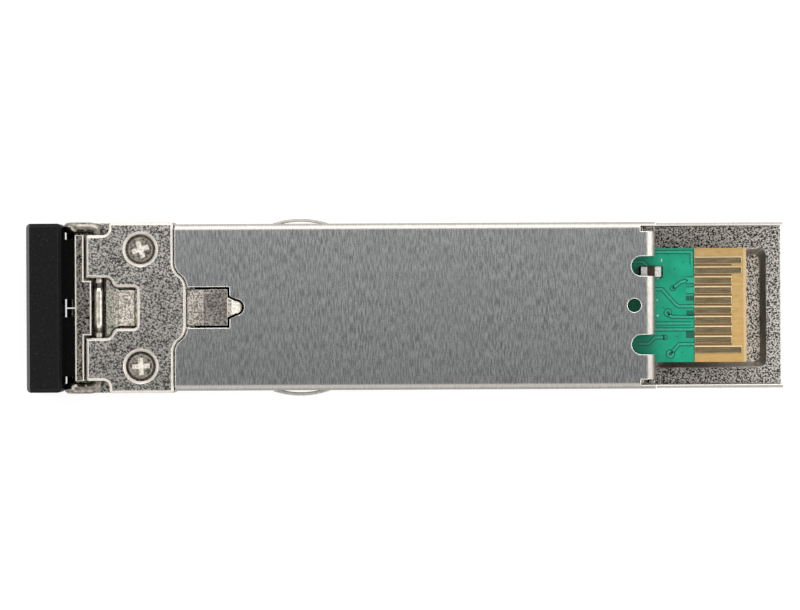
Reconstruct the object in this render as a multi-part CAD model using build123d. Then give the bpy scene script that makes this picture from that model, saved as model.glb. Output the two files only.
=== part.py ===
from build123d import *
import math
import os

os.makedirs("parts", exist_ok=True)

# Frame: X runs from the port end to the card edge, with X = 0 at the latch shoulder.
# Y = 0 is the centre plane. Z = 0 is the label face, on which the module lies, latch side up.

# Outside lengths, widths and heights
shoulder_to_front = 12.25
shoulder_to_rear = 44.7
shoulder_to_shield_end = 34.4
shoulder_to_board_end = 41.8
body_width = 13.4
nose_side_step = 0.15
body_height = 8.5
nose_top_step = 0.1
nose_length = 7.92
port_block_length = 9.25

# Die-cast walls
floor_thickness = 0.9
wall_thickness = 0.6
front_wall = 0.72
port_ceiling = 0.25
plate_thickness = 1.3
label_recess_depth = 0.15
label_recess_margin = 1.2
label_recess_corner_radius = 0.6

# Fits
wire_clearance = 0.05
pin_clearance = 0.02
side_clearance = 0.1
seat_clearance = 0.05
board_side_clearance = 0.15
lever_window_clearance = 0.2
prong_clearance = 0.05
barrel_clearance = 0.075

# Optical ports
port_side_wall = 1.275
port_centre_wall = 1.35
port_floor = 1.8
port_top_to_plate = 0.9
latch_slot_width = 3.0
latch_slot_floor = 0.5

# Sheet shield
sheet = 0.3
bend_radius = 0.6
rear_bend_radius = 0.9
bend_margin = 0.01
finger_tip_x = 3.66
finger_root_x = 8.4
finger_height = 1.8
finger_z = 4.3
finger_bulge = 0.5
finger_tip_lift = 0.15
finger_root_overlap = 0.3
finger_slit = 0.2
ventilation_slot_offset = 3.155
ventilation_slot_width = 1.6
ventilation_slot_length = 1.94
locating_hole_radius = 0.55
locating_hole_inset = 1.71
corner_relief_length = 1.2
corner_relief_width = 0.45
flange_gap_over_board = 0.4

# Board
board_to_latch_face = 2.25
board_thickness = 1.0
tongue_width = 9.2
board_front_x = 8.6
tongue_root_to_shield_end = 1.6
board_edge_chamfer = 0.25
ledge_width = 0.6
ledge_height = 0.75
board_post_radius = 0.5
board_post_to_tongue_root = 2.4
board_post_inset = 1.15
pad_pitch = 0.8
pad_width = 0.58
pad_thickness = 0.04
pad_start_to_board_end = 4.2
short_pad_end_gap = 1.2
long_pad_end_gap = 0.38
pads_per_side = 10
latch_side_long_pads = (0, 8, 9)
label_side_long_pads = (0, 3, 6, 9)

# Parts on the board
controller_size = 3.5
controller_from_front = 12.9
driver_size = 4.0
driver_from_front = 6.9
amplifier_size = 3.0
amplifier_from_front = 6.0
amplifier_inset = 3.05
memory_length = 2.0
memory_width = 3.0
memory_from_front = 18.6
memory_inset = 3.85
chip_height = 0.9
chip_edge = 0.08
pedestal_size = 5.0
thermal_pad_thickness = 0.9
small_part = (1.0, 0.5, 0.5)
low_part = (1.0, 0.5, 0.35)
large_part = (1.6, 0.8, 0.8)
low_large_part = (1.6, 0.8, 0.35)
filter_row_count = 5
filter_row_from_front = 2.6
filter_row_inset = 2.25
filter_row_pitch = 1.7
supply_row_count = 4
supply_row_from_front = 10.0
supply_row_inset = 1.25
supply_row_pitch = 2.0
bias_row_count = 5
bias_row_from_front = 11.0
bias_row_inset = 2.05
bias_row_pitch = 1.6
pull_up_row_count = 4
pull_up_row_from_front = 16.0
pull_up_row_inset = 3.85
pull_up_row_pitch = 1.5
end_capacitor_to_shield_end = 0.3
end_capacitor_to_slot_centre = 0.455

# Rear deck
board_to_deck = 2.0
pocket_depth = 1.25
pocket_draft = 0.45
pocket_corner_radius = 0.5
pocket_side_margin = 0.17
pocket_offset_y = -0.26
deck_rear_bar = 1.19
bulkhead_thickness = 1.3

# Bail
wire_radius = 0.45
wire_bend_radius = 0.75
pivot_setback = 1.885
pivot_below_plate = 0.1
arm_lead = 0.55
arm_side_clearance = 0.15
arm_side_reach = 0.05
bar_height = 0.7
bow_offset = 0.4
bow_half_width = 1.2
bow_rise_width = 0.7
bail_end_gap = 0.1

# Front plate
groove_width = 0.16
plate_edge_chamfer = 0.2
plate_corner_radius = 0.25
corner_recess_length = 2.74
corner_recess_radius = 0.5
tongue_reach = 1.0
tongue_half_width = 1.6
tongue_curve_half_width = 3.6
window_half_width = 2.42
window_narrow_half_width = 1.65
window_wide_length = 1.6
window_taper = 1.02
window_rear_setback = 2.93
window_corner_radius = 0.3
front_tab_length = 0.6
front_tab_half_width = 2.2
front_strip_chamfer = 0.1

# Plate screws
screw_to_nose_rear = 2.65
screw_inset = 2.15
screw_head_radius = 1.07
screw_head_height = 0.62
screw_head_chamfer = 0.14
screw_shank_radius = 0.5
screw_thread_engagement = 0.62
counterbore_radius = 1.2
counterbore_chamfer = 0.22
counterbore_web = 0.35
screw_hole_clearance = 0.08
recess_width = 0.36
recess_length = 1.35
recess_depth = 0.35
recess_turns = {-1: 4, 1: 18}

# Latch lever
lever_swing = 6.0
lever_half_width = 1.45
lever_pin_to_nose_rear = 0.87
lever_pin_radius = 0.35
lever_pin_length = 4.6
lever_hub_radius = 0.6
lever_tip_gap = 0.185
ledge_length = 0.95
ledge_side_clearance = 0.12
ledge_thickness = 0.45
pad_length = 0.69
pad_half_width = 1.4
pad_corner_radius = 0.2
head_length = 2.27
boss_depth = 0.7
lever_ledge_drop = 0.6
lever_mid_drop = 0.65
lever_tab_drop = 0.5
lever_pad_drop = 0.25
lever_arm_drop = 0.35
lever_belly = 0.15
lever_arm_thickness = 0.95
shoulder_block_length = 1.96
shoulder_notch_length = 0.55
shoulder_notch_width = 0.25
shoulder_notch_depth = 0.18
tip_underside_above_axis = 0.15
tip_chamfer = 0.36
boss_height = 0.45
boss_length = 1.17
boss_half_width = 0.8
boss_tip_radius = 0.5
boss_flat = 0.35
boss_ramp_end_drop = 0.2
boss_outline_gap = 0.17
boss_window_corner_radius = 0.2

# Optical subassemblies
barrel_nose_radius = 1.45
barrel_nose_length = 4.2
barrel_flange_step = 0.4
barrel_flange_length = 1.1
barrel_body_step = 0.7
barrel_body_end_x = 3.0
sleeve_radius = 0.8
sleeve_bore_radius = 0.63
sleeve_length = 3.5
can_step = 0.3
can_length = 2.4
header_length = 1.1
flex_thickness = 0.15
flex_to_ledge = 0.275
flex_bend_radius = 0.6
flex_overlap = 1.6
shielding_plate_thickness = 0.3
holder_length = 2.7
holder_cap = 0.1

# Dust plug
grip_thickness = 2.8
grip_side_inset = 0.05
grip_top_drop = 0.35
grip_floor_gap = 0.25
grip_standoff = 1.12
grip_chamfer = 0.25
grip_corner_radius = 0.35
prong_height_clearance = 0.1
prong_insertion = 4.2
prong_tip_chamfer = 0.4
prong_bore_radius = 1.6
prong_bore_depth = 3.0

# Positions worked out from the sizes above
front_x = -shoulder_to_front
nose_rear_x = front_x + nose_length
port_rear_x = front_x + port_block_length
nose_width = body_width + 2 * nose_side_step
nose_height = body_height + nose_top_step
body_half = body_width / 2
inner_half = body_half - sheet
cavity_half = inner_half - wall_thickness
nose_half = nose_width / 2
sheet_underside = body_height - sheet
plate_seat = nose_height - plate_thickness
pivot_x = front_x + pivot_setback
pivot_height = plate_seat - pivot_below_plate
arm_x = front_x - arm_lead
port_top = plate_seat - port_top_to_plate
port_centre_z = (port_floor + port_top) / 2
pocket_floor = port_top + port_ceiling
port_width = nose_half - port_side_wall - port_centre_wall / 2
port_y = (port_width + port_centre_wall) / 2
board_top = body_height - board_to_latch_face
board_bottom = board_top - board_thickness
board_half = cavity_half - board_side_clearance
chip_underside = board_bottom - chip_height
pedestal_top = chip_underside - thermal_pad_thickness
driver_x = board_front_x + driver_from_front
tongue_root_x = shoulder_to_shield_end - tongue_root_to_shield_end
board_post_x = tongue_root_x - board_post_to_tongue_root
board_post_y = board_half - board_post_inset
deck_top = board_bottom - board_to_deck
arm_y = nose_half + arm_side_reach - wire_radius
recess_half = arm_y - wire_radius - arm_side_clearance
screw_x = nose_rear_x - screw_to_nose_rear
screw_y = nose_half - screw_inset
lever_pin_x = nose_rear_x - lever_pin_to_nose_rear
plate_front_x = front_x + front_wall + groove_width
lever_slot_half = lever_half_width + side_clearance
lever_front_x = pivot_x + wire_radius + lever_tip_gap
lever_window_half = lever_half_width + lever_window_clearance
window_rear_x = nose_rear_x - window_rear_setback
holder_front_x = port_rear_x + shielding_plate_thickness
header_radius = min(cavity_half - port_y, port_y) - barrel_clearance
can_radius = header_radius - can_step
flange_radius = header_radius - barrel_flange_step
barrel_radius = header_radius - barrel_body_step
holder_top = port_centre_z + barrel_radius + holder_cap
flex_width = 2 * (cavity_half - ledge_width - flex_to_ledge - port_y)
flange_front_x = holder_front_x + seat_clearance
SIDES = (-1, 1)


def block(x0, x1, y0, y1, z0, z1):
    """Box between two opposite corners."""
    centre = Pos((x0 + x1) / 2, (y0 + y1) / 2, (z0 + z1) / 2)
    return centre * Box(x1 - x0, y1 - y0, z1 - z0)


def slab(x0, x1, half_y, z0, z1):
    """Box that is symmetric about the centre plane."""
    return block(x0, x1, -half_y, half_y, z0, z1)


def rod_x(x0, x1, y, z, radius):
    return Pos((x0 + x1) / 2, y, z) * Rot(0, 90, 0) * Cylinder(radius, x1 - x0)


def rod_y(half_length, x, z, radius):
    return Pos(x, 0, z) * Rot(90, 0, 0) * Cylinder(radius, 2 * half_length)


def rod_z(x, y, z0, z1, radius):
    return Pos(x, y, (z0 + z1) / 2) * Cylinder(radius, z1 - z0)


def side_profile(points, half_y):
    """Prism across the module from an outline in X and Z."""
    outline = make_face(Plane.XZ * Polyline(*points, close=True))
    return extrude(outline, half_y, dir=(0, 1, 0), both=True)


def plan_prism(outline, z0, z1):
    """Prism between two heights from a face in X and Y."""
    return extrude(Pos(0, 0, z0) * outline, z1 - z0, dir=(0, 0, 1))


def solid_of(shape):
    """The single solid of a result that is wrapped in a compound."""
    solids = shape.solids()
    return solids[0] if len(solids) == 1 else Compound(children=list(solids))


def mirrored_face(half):
    """Face in X and Y from a half outline that ends on the centre plane, and its mirror image."""
    return make_face(Curve() + half + [mirror(edge, Plane.XZ) for edge in half])


def s_curve(start, end, direction):
    """Two equal arcs that shift an edge sideways and leave its direction as it was."""
    middle = ((start[0] + end[0]) / 2, (start[1] + end[1]) / 2)
    first = TangentArc(start, middle, tangent=direction)
    return [first, TangentArc(middle, end, tangent=first % 1)]


def shield_inside(x0, x1, top_z):
    """Space inside the folded shield, with the bends' inner radius, up to a height."""
    points = [(-inner_half, floor_thickness), (-inner_half, sheet_underside),
              (inner_half, sheet_underside), (inner_half, floor_thickness)]
    section = make_face(Plane.YZ * Polyline(*points, close=True))
    section = fillet(section.vertices().group_by(Axis.Z)[-1], bend_radius - sheet)
    space = extrude(Pos(x0, 0, 0) * section, x1 - x0, dir=(1, 0, 0))
    return space & slab(x0, x1, inner_half + 1, floor_thickness, top_z)


# Base housing
def port_cuts():
    cuts = []
    for side in SIDES:
        y = side * port_y
        cuts.append(block(front_x, port_rear_x, y - port_width / 2, y + port_width / 2,
                          port_floor, port_top))
        cuts.append(block(front_x, port_rear_x, y - latch_slot_width / 2, y + latch_slot_width / 2,
                          latch_slot_floor, port_floor))
    return cuts


def pivot_groove():
    """Running groove for the bail's shaft, open upwards."""
    radius = wire_radius + wire_clearance
    groove = rod_y(nose_half, pivot_x, pivot_height, radius)
    return groove + slab(pivot_x - radius, pivot_x + radius, nose_half, pivot_height, plate_seat)


def lever_pocket():
    cam_reach = wire_radius + bow_offset + side_clearance
    cam_room = slab(plate_front_x, pivot_x + cam_reach, window_half_width, pocket_floor, plate_seat)
    lever_room = slab(pivot_x, port_rear_x, lever_slot_half, pocket_floor, nose_height)
    return cam_room + lever_room


def front_strip():
    """Raised strip across the front, with the tab that stands before the bail's shaft."""
    tab_x = front_x + front_wall
    strip = slab(front_x, tab_x, nose_half, plate_seat, nose_height)
    strip += slab(tab_x, tab_x + front_tab_length, front_tab_half_width, plate_seat, nose_height)
    strip = chamfer(strip.faces().sort_by(Axis.Z)[-1].edges(), front_strip_chamfer)
    return strip + slab(tab_x, tab_x + front_tab_length, front_tab_half_width,
                        plate_seat - plate_thickness, plate_seat)


def corner_recesses():
    """Clear space at both front corners, in which the bail's arms turn."""
    floor_z = pivot_height - wire_radius - side_clearance
    cuts = []
    for side in SIDES:
        y0, y1 = sorted((side * recess_half, side * (nose_half + 1)))
        cut = block(front_x - 1, front_x + corner_recess_length, y0, y1, floor_z, nose_height + 1)
        inner = cut.edges().filter_by(Axis.Z).sort_by_distance((nose_rear_x, 0, floor_z))[0]
        cuts.append(fillet(inner, corner_recess_radius))
    return cuts


def nose():
    shell = slab(front_x, nose_rear_x, nose_half, 0, plate_seat)
    shell += shield_inside(nose_rear_x, port_rear_x, sheet_underside)
    shell += slab(nose_rear_x, port_rear_x, body_half, 0, floor_thickness)
    shell -= lever_pocket()
    shell += front_strip()
    for cut in port_cuts() + corner_recesses():
        shell -= cut
    shell -= pivot_groove()
    shell -= rod_y(lever_pin_length / 2, lever_pin_x, plate_seat, lever_pin_radius + pin_clearance)
    for side in SIDES:
        shell -= rod_z(screw_x, side * screw_y, plate_seat - screw_thread_engagement - seat_clearance,
                       plate_seat, screw_shank_radius + pin_clearance)
    return shell


def trough():
    """Floor and side walls between the ports and the bulkhead."""
    end_x = shoulder_to_shield_end
    flange_start = end_x - rear_bend_radius - side_clearance
    walls = shield_inside(port_rear_x, flange_start, sheet_underside)
    walls += shield_inside(flange_start, end_x, board_top)
    walls -= slab(port_rear_x, end_x, cavity_half, floor_thickness, sheet_underside)
    ledge_z0 = board_bottom - ledge_height
    for side in SIDES:
        y0, y1 = sorted((side * cavity_half, side * (cavity_half - ledge_width)))
        walls += block(board_front_x, tongue_root_x, y0, y1, ledge_z0, board_bottom)
        walls += rod_z(board_post_x, side * board_post_y, floor_thickness, board_bottom,
                       2 * board_post_radius)
        walls += rod_z(board_post_x, side * board_post_y, board_bottom, board_top, board_post_radius)
    walls += slab(end_x - bulkhead_thickness, end_x, inner_half, floor_thickness, board_bottom)
    return walls


def pedestal():
    """Raised block under the chip that the thermal pad cools."""
    half = pedestal_size / 2
    return slab(driver_x - half, driver_x + half, half, floor_thickness, pedestal_top)


def deck_pocket():
    """Pocket under the board's tongue, with drafted walls and round corners."""
    length = shoulder_to_rear - deck_rear_bar - shoulder_to_shield_end
    width = tongue_width + 2 * pocket_side_margin
    centre = Pos(shoulder_to_shield_end + length / 2, pocket_offset_y, deck_top)
    mouth = centre * RectangleRounded(length, width, pocket_corner_radius)
    floor_shape = RectangleRounded(length - 2 * pocket_draft, width - 2 * pocket_draft,
                                   pocket_corner_radius)
    bottom = centre * Pos(0, 0, -pocket_depth) * floor_shape
    return loft([mouth.face(), bottom.face()])


def rear_deck():
    deck = slab(shoulder_to_shield_end, shoulder_to_rear, inner_half, 0, deck_top)
    return deck - deck_pocket()


def base_housing():
    housing = nose() + trough() + pedestal() + rear_deck()
    housing += slab(port_rear_x, shoulder_to_rear, body_half, 0, floor_thickness)
    recess = slab(nose_rear_x + label_recess_margin, shoulder_to_shield_end - label_recess_margin,
                  body_half - label_recess_margin, 0, label_recess_depth)
    housing -= fillet(recess.edges().filter_by(Axis.Z), label_recess_corner_radius)
    return solid_of(housing)


# Front plate
def plate_outline():
    """Plan of the plate, with recessed front corners and a tongue at the rear."""
    recess_end = front_x + corner_recess_length
    tip = nose_rear_x + tongue_reach
    corners = [(plate_front_x, 0), (plate_front_x, recess_half), (recess_end, recess_half),
               (recess_end, nose_half), (nose_rear_x, nose_half),
               (nose_rear_x, tongue_curve_half_width)]
    radii = [plate_corner_radius, corner_recess_radius, plate_corner_radius, plate_corner_radius]
    edges = FilletPolyline(*corners, radius=radii).edges()
    edges += s_curve(corners[-1], (tip, tongue_half_width), (0, -1))
    edges += [Line((tip, tongue_half_width), (tip, 0))]
    return mirrored_face(list(edges))


def window_outline():
    """Window that shows the bail's shaft and narrows over the lever's tab."""
    open_x = plate_front_x - 1
    wide_end = (plate_front_x + window_wide_length, window_half_width)
    narrow_start = (wide_end[0] + window_taper, window_narrow_half_width)
    edges = [Polyline((open_x, 0), (open_x, window_half_width), wide_end)]
    edges += s_curve(wide_end, narrow_start, (1, 0))
    edges += [FilletPolyline(narrow_start, (window_rear_x, window_narrow_half_width),
                             (window_rear_x, 0), radius=window_corner_radius)]
    return mirrored_face([edge for part in edges for edge in part.edges()])


def front_plate():
    plan = plate_outline() - window_outline()
    plate = plan_prism(plan, plate_seat, nose_height)
    plate = chamfer(plate.faces().sort_by(Axis.Z)[-1].edges(), plate_edge_chamfer)
    plate -= slab(nose_rear_x, nose_rear_x + tongue_reach, tongue_curve_half_width,
                  plate_seat, sheet_underside)
    plate -= pivot_groove()
    lever_lift = math.radians(lever_swing) * (lever_pin_x - window_rear_x)
    ceiling = body_height - lever_mid_drop + lever_lift + side_clearance
    plate -= slab(window_rear_x - 1, nose_rear_x, lever_slot_half, plate_seat, ceiling)
    plate -= rod_y(lever_pin_length / 2, lever_pin_x, plate_seat, lever_pin_radius + pin_clearance)
    for side in SIDES:
        y = side * screw_y
        plate -= rod_z(screw_x, y, plate_seat, nose_height, screw_shank_radius + screw_hole_clearance)
        plate -= rod_z(screw_x, y, plate_seat + counterbore_web, nose_height, counterbore_radius)
        plate -= Pos(screw_x, y, nose_height - counterbore_chamfer / 2) * Cone(
            counterbore_radius, counterbore_radius + counterbore_chamfer, counterbore_chamfer)
    return solid_of(plate)


def plate_screw(side):
    y = side * screw_y
    seat = plate_seat + counterbore_web
    head_top = seat + screw_head_height
    head = rod_z(screw_x, y, seat, head_top, screw_head_radius)
    head = chamfer(head.edges().group_by(Axis.Z)[-1], screw_head_chamfer)
    screw = head + rod_z(screw_x, y, plate_seat - screw_thread_engagement, seat, screw_shank_radius)
    for angle in (0, 90):
        arm = Pos(screw_x, y, head_top - recess_depth / 2) * Rot(0, 0, angle + recess_turns[side])
        screw -= arm * Box(recess_length, recess_width, recess_depth)
    return solid_of(screw)


def front_screws():
    return Compound(children=[plate_screw(side) for side in SIDES])


# Shield
def shield_walls():
    """Folded sheet: a flat top and two side walls, with round bends."""
    outer = [(-body_half, floor_thickness), (-body_half, body_height),
             (body_half, body_height), (body_half, floor_thickness)]
    outline = make_face(Plane.YZ * Polyline(*outer, close=True))
    outline = fillet(outline.vertices().group_by(Axis.Z)[-1], bend_radius)
    start = nose_rear_x + side_clearance
    length = shoulder_to_rear - start
    shell = extrude(Pos(start, 0, 0) * outline, length, dir=(1, 0, 0))
    shell -= shield_inside(start, shoulder_to_rear, sheet_underside)
    skirt_top = body_height - bend_radius
    end_x = shoulder_to_shield_end
    return shell - slab(end_x - rear_bend_radius, shoulder_to_rear + 1, body_half - bend_radius / 2,
                        skirt_top, body_height + 1) - slab(
        end_x, shoulder_to_rear + 1, body_half + 1, skirt_top, body_height + 1)


def shield_flange():
    """Rear edge of the top, bent down behind the board's parts."""
    end_x = shoulder_to_shield_end
    bottom = board_top + flange_gap_over_board
    outer = Polyline((end_x - rear_bend_radius, body_height), (end_x, body_height), (end_x, bottom),
                     (end_x - sheet, bottom), (end_x - sheet, sheet_underside),
                     (end_x - rear_bend_radius, sheet_underside), close=True)
    strip = make_face(Plane.XZ * outer)
    flange = extrude(strip, body_half - bend_radius, dir=(0, 1, 0), both=True)
    across = flange.edges().filter_by(Axis.Y)
    outer_edge = across.sort_by_distance((end_x, 0, body_height))[0]
    flange = fillet(outer_edge, rear_bend_radius - bend_margin)
    inner_edge = flange.edges().filter_by(Axis.Y).sort_by_distance((end_x - sheet, 0, sheet_underside))[0]
    return fillet(inner_edge, rear_bend_radius - sheet - 2 * bend_margin)


def ground_finger(side):
    """Spring finger cut from a side wall and bulged outwards, rooted at its rear end."""
    wall_y = body_half - sheet / 2
    middle_x = (finger_root_x + finger_tip_x) / 2
    path = ThreePointArc((finger_root_x, wall_y), (middle_x, wall_y + finger_bulge),
                         (finger_tip_x, wall_y + finger_tip_lift))
    strip = trace(path, line_width=sheet)
    finger = plan_prism(strip, finger_z - finger_height / 2, finger_z + finger_height / 2)
    root_tab = block(finger_root_x - finger_root_overlap, finger_root_x + finger_root_overlap,
                     inner_half, body_half,
                     finger_z - finger_height / 2, finger_z + finger_height / 2)
    finger += root_tab
    return finger if side > 0 else mirror(finger, Plane.XZ)


def finger_window(side):
    y0, y1 = sorted((side * (inner_half - 0.1), side * (body_half + 0.1)))
    half = finger_height / 2 + finger_slit
    return block(finger_tip_x - finger_slit, finger_root_x, y0, y1, finger_z - half, finger_z + half)


def latch_window():
    """Opening round the lever's arm that narrows to follow the boss."""
    arm_end = boss_outline_gap
    length = arm_end - nose_rear_x
    arm_room = Pos(arm_end - length / 2, 0) * Rectangle(length, 2 * lever_window_half)
    opening = arm_room + offset(boss_outline(), boss_outline_gap)
    inner_corners = [v for v in opening.vertices()
                     if abs(v.X - arm_end) < 0.01 and abs(v.Y) < lever_window_half - 0.01]
    return fillet(inner_corners, boss_window_corner_radius)


def shield_cuts():
    """Room for the plate's tongue and the latch, rear slots, locating hole and corner reliefs."""
    end_x = shoulder_to_shield_end
    low = sheet_underside - 0.1
    high = body_height + 0.1
    cuts = [plan_prism(offset(plate_outline(), side_clearance), low, high),
            plan_prism(latch_window(), low, high)]
    cuts.append(rod_z(end_x - locating_hole_inset, 0, low, high, locating_hole_radius))
    start = end_x - ventilation_slot_length
    radius = ventilation_slot_width / 2
    for side in SIDES:
        y = side * ventilation_slot_offset
        cuts.append(rod_z(start + radius, y, low, high, radius))
        cuts.append(block(start + radius, end_x + 0.1, y - radius, y + radius, board_top, high))
        y0, y1 = sorted((side * (inner_half - corner_relief_width), side * inner_half))
        cuts.append(block(end_x - corner_relief_length, end_x + 0.1, y0, y1, board_top, high))
    return cuts


def shield_cover():
    shell = shield_walls() + shield_flange()
    for cut in shield_cuts():
        shell -= cut
    for side in SIDES:
        shell -= finger_window(side)
        shell += ground_finger(side)
    return solid_of(shell)


# Board and what is soldered to it
def circuit_board():
    board = slab(board_front_x, tongue_root_x, board_half, board_bottom, board_top)
    board += slab(tongue_root_x, shoulder_to_board_end, tongue_width / 2, board_bottom, board_top)
    for side in SIDES:
        board -= rod_z(board_post_x, side * board_post_y, board_bottom, board_top,
                       board_post_radius + seat_clearance)
    end_edges = board.faces().sort_by(Axis.X)[-1].edges().filter_by(Axis.Y)
    return solid_of(chamfer(end_edges, board_edge_chamfer))


def edge_contacts(z0, long_pads):
    pads = []
    start = shoulder_to_board_end - pad_start_to_board_end
    for index in range(pads_per_side):
        y = (index - (pads_per_side - 1) / 2) * pad_pitch
        gap = long_pad_end_gap if index in long_pads else short_pad_end_gap
        pads.append(block(start, shoulder_to_board_end - gap, y - pad_width / 2, y + pad_width / 2,
                          z0, z0 + pad_thickness))
    return Compound(children=pads)


def latch_side_contacts():
    return edge_contacts(board_top, latch_side_long_pads)


def label_side_contacts():
    return edge_contacts(board_bottom - pad_thickness, label_side_long_pads)


def chip(from_front, y, length, width):
    """Moulded package on the latch side of the board, with softened top edges."""
    x = board_front_x + from_front
    body = block(x - length / 2, x + length / 2, y - width / 2, y + width / 2,
                 board_top, board_top + chip_height)
    return chamfer(body.faces().sort_by(Axis.Z)[-1].edges(), chip_edge)


def controller_chip():
    return chip(controller_from_front, 0, controller_size, controller_size)


def receiver_amplifier_chip():
    return chip(amplifier_from_front, amplifier_inset - board_half, amplifier_size, amplifier_size)


def memory_chip():
    return chip(memory_from_front, board_half - memory_inset, memory_length, memory_width)


def laser_driver_chip():
    """Package on the label side, cooled through the thermal pad."""
    half = driver_size / 2
    body = slab(driver_x - half, driver_x + half, half, chip_underside, board_bottom)
    return chamfer(body.faces().sort_by(Axis.Z)[0].edges(), chip_edge)


def thermal_pad():
    half = driver_size / 2
    return slab(driver_x - half, driver_x + half, half, pedestal_top, chip_underside)


def component_row(count, x0, pitch, y, size):
    """Small two-terminal parts in a row on the latch side of the board."""
    length, width, height = size
    centre = Pos(x0, y, board_top + height / 2)
    return [centre * Pos(index * pitch, 0, 0) * Box(length, width, height) for index in range(count)]


def chip_capacitors():
    parts = component_row(filter_row_count, board_front_x + filter_row_from_front, filter_row_pitch,
                          board_half - filter_row_inset, small_part)
    parts += component_row(supply_row_count, board_front_x + supply_row_from_front, supply_row_pitch,
                           supply_row_inset - board_half, large_part)
    parts += component_row(1, shoulder_to_shield_end - end_capacitor_to_shield_end, 0,
                           ventilation_slot_offset - end_capacitor_to_slot_centre, low_large_part)
    return Compound(children=parts)


def chip_resistors():
    parts = component_row(bias_row_count, board_front_x + bias_row_from_front, bias_row_pitch,
                          board_half - bias_row_inset, low_part)
    parts += component_row(pull_up_row_count, board_front_x + pull_up_row_from_front, pull_up_row_pitch,
                           pull_up_row_inset - board_half, low_part)
    return Compound(children=parts)


# Optical subassemblies
def optical_barrel(y):
    """Receptacle barrel with a clamped flange and a bore for the ferrule sleeve."""
    nose_start = flange_front_x - barrel_nose_length
    flange_end = flange_front_x + barrel_flange_length
    barrel = rod_x(nose_start, flange_front_x, y, port_centre_z, barrel_nose_radius)
    barrel += rod_x(flange_front_x, flange_end, y, port_centre_z, flange_radius)
    barrel += rod_x(flange_end, barrel_body_end_x, y, port_centre_z, barrel_radius)
    barrel -= rod_x(nose_start, nose_start + sleeve_length + seat_clearance, y, port_centre_z,
                    sleeve_radius + pin_clearance)
    return solid_of(barrel)


def optical_can(y):
    start = barrel_body_end_x
    header_start = start + can_length
    header_end = header_start + header_length
    can = rod_x(start, header_start, y, port_centre_z, can_radius)
    can += rod_x(header_start, header_end, y, port_centre_z, header_radius)
    return solid_of(can)


def optical_flex(y):
    """Flexible lead strip from the can's header to the label side of the board."""
    centre_x = barrel_body_end_x + can_length + header_length + flex_thickness / 2
    top_z = board_bottom - flex_thickness / 2
    path = FilletPolyline((centre_x, port_centre_z - flex_width / 2), (centre_x, top_z),
                          (board_front_x + flex_overlap, top_z), radius=flex_bend_radius)
    strip = Plane.XZ * trace(path, line_width=flex_thickness)
    return solid_of(Pos(0, y, 0) * extrude(strip, flex_width / 2, dir=(0, 1, 0), both=True))


def ferrule_sleeves():
    """Thin ceramic tubes that line up the fibre ferrules."""
    sleeves = []
    start = flange_front_x - barrel_nose_length + seat_clearance
    for side in SIDES:
        tube = rod_x(start, start + sleeve_length - seat_clearance, side * port_y, port_centre_z,
                     sleeve_radius)
        tube -= rod_x(start, start + sleeve_length, side * port_y, port_centre_z,
                      sleeve_bore_radius)
        sleeves.append(solid_of(tube))
    return Compound(children=sleeves)


def shielding_plate():
    """Thin metal plate behind the ports, pierced for the two barrels."""
    plate = slab(port_rear_x, holder_front_x, cavity_half - seat_clearance, floor_thickness,
                 holder_top)
    for side in SIDES:
        plate -= rod_x(port_rear_x, holder_front_x, side * port_y, port_centre_z,
                       barrel_nose_radius + pin_clearance)
    return solid_of(plate)


def barrel_holder():
    """Moulded block that clamps the barrels' flanges behind the ports."""
    holder = slab(holder_front_x, holder_front_x + holder_length, cavity_half - seat_clearance,
                  floor_thickness, holder_top)
    seat_end = flange_front_x + barrel_flange_length
    for side in SIDES:
        y = side * port_y
        holder -= rod_x(holder_front_x, seat_end, y, port_centre_z, flange_radius + pin_clearance)
        holder -= rod_x(holder_front_x, holder_front_x + holder_length, y, port_centre_z,
                        barrel_radius + pin_clearance)
    return solid_of(holder)


# Latch
def boss_outline():
    """Plan of the boss, which narrows from the shoulder to a round tip."""
    round_start = (boss_length - boss_tip_radius, boss_tip_radius)
    sides = Polyline((0, 0), (0, boss_half_width), round_start).edges()
    tip = TangentArc(round_start, (boss_length, 0), tangent=(1, 0))
    return mirrored_face([*sides, tip])


def latch_boss():
    """Wedge behind the shoulder: a steep front face, a short flat and a ramp to the rear."""
    top = body_height + boss_height
    bottom = body_height - boss_depth
    side_view = side_profile([(0, bottom), (0, top), (boss_flat, top),
                              (boss_length, body_height - boss_ramp_end_drop),
                              (boss_length, bottom)], boss_half_width)
    return side_view & plan_prism(boss_outline(), bottom, top)


def lever_head_ledge():
    """Wide front of the lever's head, which fills the window's wide part."""
    outline = offset(window_outline(), -ledge_side_clearance)
    top = body_height - lever_ledge_drop
    ledge = plan_prism(outline, top - ledge_thickness, top)
    return ledge & slab(lever_front_x, lever_front_x + ledge_length, window_half_width,
                        plate_seat, nose_height)


def lever_head_pad():
    """Raised pad that the bail's bow lifts."""
    rear_x = lever_front_x + pad_length
    pad = slab(lever_front_x, rear_x, pad_half_width, body_height - lever_ledge_drop,
               body_height - lever_pad_drop)
    rear_edges = pad.edges().filter_by(Axis.Z).group_by(Axis.X)[-1]
    return fillet(rear_edges, pad_corner_radius)


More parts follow.
